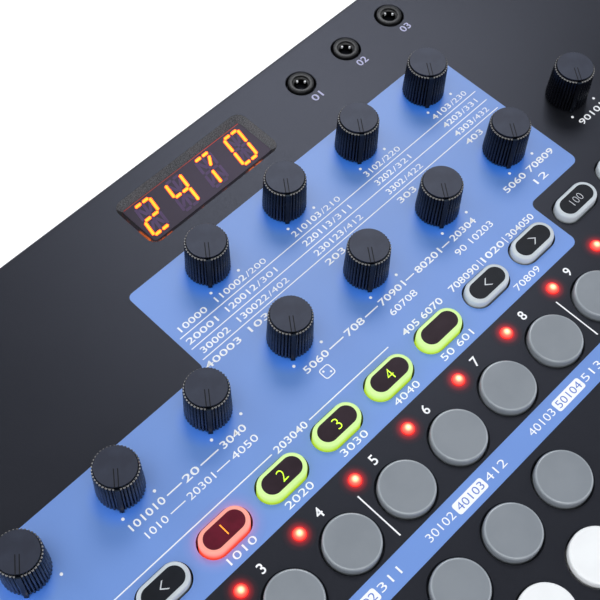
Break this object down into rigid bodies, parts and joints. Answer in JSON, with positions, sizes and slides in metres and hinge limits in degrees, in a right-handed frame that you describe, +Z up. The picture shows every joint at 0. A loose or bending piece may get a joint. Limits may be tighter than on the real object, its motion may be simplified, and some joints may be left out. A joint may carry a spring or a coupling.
{
  "type": "fm synthesizer",
  "caption": "Desktop FM synthesizer: flat case, ribbed knobs, lit pill buttons, round step buttons and keys, recessed segment display, top-facing jacks and battery bay.",
  "frame": {"origin": "on the table, under the middle of the case", "axes": "+X to the player's right, +Y to the rear edge with the jacks, +Z up"},
  "size_m": [0.297, 0.176, 0.0484],
  "materials": {
    "case_black": "fine spark texture, matt",
    "contact_metal": "nickel-plated spring sheet",
    "foot_rubber": "matt",
    "screw_steel": "black zinc",
    "board_green": "solder mask",
    "chip_black": "moulded package",
    "switch_black": "moulded",
    "pot_grey": "folded tin-plated can",
    "led_red": "clear red, lit",
    "display_body": "moulded",
    "display_filter": "smoked, with lit characters behind it",
    "jack_black": "smooth moulding",
    "slider_grey": "moulded",
    "speaker_black": "coated steel and paper",
    "knob_black": "fine ribs, matt cap",
    "button_grey": "smooth matt silicone-like",
    "key_white": "smooth matt",
    "pill_clear": "translucent, lit from below, dark inset"
  },
  "bodies": {
    "case": {"upper_case": "case_black", "lower_case": "case_black", "battery_contacts": "contact_metal", "rubber_feet": "foot_rubber", "case_screws": "screw_steel", "control_board": "board_green", "board_chips": "chip_black", "key_switches": "switch_black", "pot_bodies": "pot_grey", "step_leds": "led_red", "display_module": "display_body", "display_window": "display_filter", "audio_jacks": "jack_black", "power_inlet": "jack_black", "power_switch_body": "switch_black", "speaker": "speaker_black"},
    "rear_knob_01": {"rear_knob_01": "knob_black"},
    "rear_knob_02": {"rear_knob_02": "knob_black"},
    "rear_knob_03": {"rear_knob_03": "knob_black"},
    "rear_knob_04": {"rear_knob_04": "knob_black"},
    "front_knob_01": {"front_knob_01": "knob_black"},
    "front_knob_02": {"front_knob_02": "knob_black"},
    "front_knob_03": {"front_knob_03": "knob_black"},
    "front_knob_04": {"front_knob_04": "knob_black"},
    "front_knob_05": {"front_knob_05": "knob_black"},
    "front_knob_06": {"front_knob_06": "knob_black"},
    "front_knob_07": {"front_knob_07": "knob_black"},
    "front_knob_08": {"front_knob_08": "knob_black"},
    "front_knob_09": {"front_knob_09": "knob_black"},
    "front_knob_10": {"front_knob_10": "knob_black"},
    "front_knob_11": {"front_knob_11": "knob_black"},
    "pill_strip_1": {"pill_strip_1": "pill_clear"},
    "pill_strip_2": {"pill_strip_2": "pill_clear"},
    "pill_strip_3": {"pill_strip_3": "pill_clear"},
    "pill_strip_4": {"pill_strip_4": "pill_clear"},
    "black_keys_left": {"black_keys_left": "button_grey"},
    "black_keys_right": {"black_keys_right": "button_grey"},
    "white_keys_left": {"white_keys_left": "key_white"},
    "white_keys_right": {"white_keys_right": "key_white"},
    "power_slider": {"power_slider": "slider_grey"},
    "battery_door": {"battery_door": "case_black"},
    "step_button_01": {"step_button_01": "button_grey"},
    "step_button_02": {"step_button_02": "button_grey"},
    "step_button_03": {"step_button_03": "button_grey"},
    "step_button_04": {"step_button_04": "button_grey"},
    "step_button_05": {"step_button_05": "button_grey"},
    "step_button_06": {"step_button_06": "button_grey"},
    "step_button_07": {"step_button_07": "button_grey"},
    "step_button_08": {"step_button_08": "button_grey"},
    "step_button_09": {"step_button_09": "button_grey"},
    "step_button_10": {"step_button_10": "button_grey"},
    "step_button_11": {"step_button_11": "button_grey"},
    "step_button_12": {"step_button_12": "button_grey"},
    "step_button_13": {"step_button_13": "button_grey"},
    "step_button_14": {"step_button_14": "button_grey"},
    "step_button_15": {"step_button_15": "button_grey"},
    "step_button_16": {"step_button_16": "button_grey"}
  },
  "joints": [
    {"name": "rear_knob_01_turn", "type": "hinge", "parent": "case", "child": "rear_knob_01", "pos_m": [-0.051, 0.0537, 0.037], "axis": [0, 0, -1], "range_deg": [0, 284]},
    {"name": "rear_knob_02_turn", "type": "hinge", "parent": "case", "child": "rear_knob_02", "pos_m": [-0.0255, 0.0537, 0.037], "axis": [0, 0, -1], "range_deg": [0, 284]},
    {"name": "rear_knob_03_turn", "type": "hinge", "parent": "case", "child": "rear_knob_03", "pos_m": [0, 0.0537, 0.037], "axis": [0, 0, -1], "range_deg": [0, 284]},
    {"name": "rear_knob_04_turn", "type": "hinge", "parent": "case", "child": "rear_knob_04", "pos_m": [0.0255, 0.0537, 0.037], "axis": [0, 0, -1], "range_deg": [0, 284]},
    {"name": "front_knob_01_turn", "type": "hinge", "parent": "case", "child": "front_knob_01", "pos_m": [-0.1275, 0.0267, 0.037], "axis": [0, 0, -1], "range_deg": [0, 284]},
    {"name": "front_knob_02_turn", "type": "hinge", "parent": "case", "child": "front_knob_02", "pos_m": [-0.102, 0.0267, 0.037], "axis": [0, 0, -1], "range_deg": [0, 284]},
    {"name": "front_knob_03_turn", "type": "hinge", "parent": "case", "child": "front_knob_03", "pos_m": [-0.0765, 0.0267, 0.037], "axis": [0, 0, -1], "range_deg": [0, 284]},
    {"name": "front_knob_04_turn", "type": "hinge", "parent": "case", "child": "front_knob_04", "pos_m": [-0.051, 0.0267, 0.037], "axis": [0, 0, -1], "range_deg": [0, 284]},
    {"name": "front_knob_05_turn", "type": "hinge", "parent": "case", "child": "front_knob_05", "pos_m": [-0.0255, 0.0267, 0.037], "axis": [0, 0, -1], "range_deg": [0, 284]},
    {"name": "front_knob_06_turn", "type": "hinge", "parent": "case", "child": "front_knob_06", "pos_m": [0, 0.0267, 0.037], "axis": [0, 0, -1], "range_deg": [0, 284]},
    {"name": "front_knob_07_turn", "type": "hinge", "parent": "case", "child": "front_knob_07", "pos_m": [0.0255, 0.0267, 0.037], "axis": [0, 0, -1], "range_deg": [0, 284]},
    {"name": "front_knob_08_turn", "type": "hinge", "parent": "case", "child": "front_knob_08", "pos_m": [0.051, 0.0267, 0.037], "axis": [0, 0, -1], "range_deg": [0, 284]},
    {"name": "front_knob_09_turn", "type": "hinge", "parent": "case", "child": "front_knob_09", "pos_m": [0.0765, 0.0267, 0.037], "axis": [0, 0, -1], "range_deg": [0, 284]},
    {"name": "front_knob_10_turn", "type": "hinge", "parent": "case", "child": "front_knob_10", "pos_m": [0.102, 0.0267, 0.037], "axis": [0, 0, -1], "range_deg": [0, 284]},
    {"name": "front_knob_11_turn", "type": "hinge", "parent": "case", "child": "front_knob_11", "pos_m": [0.1275, 0.0267, 0.037], "axis": [0, 0, -1], "range_deg": [0, 284]},
    {"name": "pill_strip_1_press", "type": "slide", "parent": "case", "child": "pill_strip_1", "axis": [0, 0, -1], "range_m": [0, 0.001], "stiffness_N_per_m": 900, "springref_m": -0.0006},
    {"name": "pill_strip_2_press", "type": "slide", "parent": "case", "child": "pill_strip_2", "axis": [0, 0, -1], "range_m": [0, 0.001], "stiffness_N_per_m": 900, "springref_m": -0.0006},
    {"name": "pill_strip_3_press", "type": "slide", "parent": "case", "child": "pill_strip_3", "axis": [0, 0, -1], "range_m": [0, 0.001], "stiffness_N_per_m": 900, "springref_m": -0.0006},
    {"name": "pill_strip_4_press", "type": "slide", "parent": "case", "child": "pill_strip_4", "axis": [0, 0, -1], "range_m": [0, 0.001], "stiffness_N_per_m": 900, "springref_m": -0.0006},
    {"name": "black_keys_left_press", "type": "slide", "parent": "case", "child": "black_keys_left", "axis": [0, 0, -1], "range_m": [0, 0.001], "stiffness_N_per_m": 900, "springref_m": -0.0006},
    {"name": "black_keys_right_press", "type": "slide", "parent": "case", "child": "black_keys_right", "axis": [0, 0, -1], "range_m": [0, 0.001], "stiffness_N_per_m": 900, "springref_m": -0.0006},
    {"name": "white_keys_left_press", "type": "slide", "parent": "case", "child": "white_keys_left", "axis": [0, 0, -1], "range_m": [0, 0.001], "stiffness_N_per_m": 900, "springref_m": -0.0006},
    {"name": "white_keys_right_press", "type": "slide", "parent": "case", "child": "white_keys_right", "axis": [0, 0, -1], "range_m": [0, 0.001], "stiffness_N_per_m": 900, "springref_m": -0.0006},
    {"name": "power_slide", "type": "slide", "parent": "case", "child": "power_slider", "axis": [1, 0, 0], "range_m": [0, 0.004]},
    {"name": "battery_door_slide", "type": "slide", "parent": "case", "child": "battery_door", "axis": [0, 1, 0], "range_m": [0, 0.07]},
    {"name": "step_button_01_press", "type": "slide", "parent": "case", "child": "step_button_01", "axis": [0, 0, -1], "range_m": [0, 0.001], "stiffness_N_per_m": 900, "springref_m": -0.0006},
    {"name": "step_button_02_press", "type": "slide", "parent": "case", "child": "step_button_02", "axis": [0, 0, -1], "range_m": [0, 0.001], "stiffness_N_per_m": 900, "springref_m": -0.0006},
    {"name": "step_button_03_press", "type": "slide", "parent": "case", "child": "step_button_03", "axis": [0, 0, -1], "range_m": [0, 0.001], "stiffness_N_per_m": 900, "springref_m": -0.0006},
    {"name": "step_button_04_press", "type": "slide", "parent": "case", "child": "step_button_04", "axis": [0, 0, -1], "range_m": [0, 0.001], "stiffness_N_per_m": 900, "springref_m": -0.0006},
    {"name": "step_button_05_press", "type": "slide", "parent": "case", "child": "step_button_05", "axis": [0, 0, -1], "range_m": [0, 0.001], "stiffness_N_per_m": 900, "springref_m": -0.0006},
    {"name": "step_button_06_press", "type": "slide", "parent": "case", "child": "step_button_06", "axis": [0, 0, -1], "range_m": [0, 0.001], "stiffness_N_per_m": 900, "springref_m": -0.0006},
    {"name": "step_button_07_press", "type": "slide", "parent": "case", "child": "step_button_07", "axis": [0, 0, -1], "range_m": [0, 0.001], "stiffness_N_per_m": 900, "springref_m": -0.0006},
    {"name": "step_button_08_press", "type": "slide", "parent": "case", "child": "step_button_08", "axis": [0, 0, -1], "range_m": [0, 0.001], "stiffness_N_per_m": 900, "springref_m": -0.0006},
    {"name": "step_button_09_press", "type": "slide", "parent": "case", "child": "step_button_09", "axis": [0, 0, -1], "range_m": [0, 0.001], "stiffness_N_per_m": 900, "springref_m": -0.0006},
    {"name": "step_button_10_press", "type": "slide", "parent": "case", "child": "step_button_10", "axis": [0, 0, -1], "range_m": [0, 0.001], "stiffness_N_per_m": 900, "springref_m": -0.0006},
    {"name": "step_button_11_press", "type": "slide", "parent": "case", "child": "step_button_11", "axis": [0, 0, -1], "range_m": [0, 0.001], "stiffness_N_per_m": 900, "springref_m": -0.0006},
    {"name": "step_button_12_press", "type": "slide", "parent": "case", "child": "step_button_12", "axis": [0, 0, -1], "range_m": [0, 0.001], "stiffness_N_per_m": 900, "springref_m": -0.0006},
    {"name": "step_button_13_press", "type": "slide", "parent": "case", "child": "step_button_13", "axis": [0, 0, -1], "range_m": [0, 0.001], "stiffness_N_per_m": 900, "springref_m": -0.0006},
    {"name": "step_button_14_press", "type": "slide", "parent": "case", "child": "step_button_14", "axis": [0, 0, -1], "range_m": [0, 0.001], "stiffness_N_per_m": 900, "springref_m": -0.0006},
    {"name": "step_button_15_press", "type": "slide", "parent": "case", "child": "step_button_15", "axis": [0, 0, -1], "range_m": [0, 0.001], "stiffness_N_per_m": 900, "springref_m": -0.0006},
    {"name": "step_button_16_press", "type": "slide", "parent": "case", "child": "step_button_16", "axis": [0, 0, -1], "range_m": [0, 0.001], "stiffness_N_per_m": 900, "springref_m": -0.0006}
  ]
}
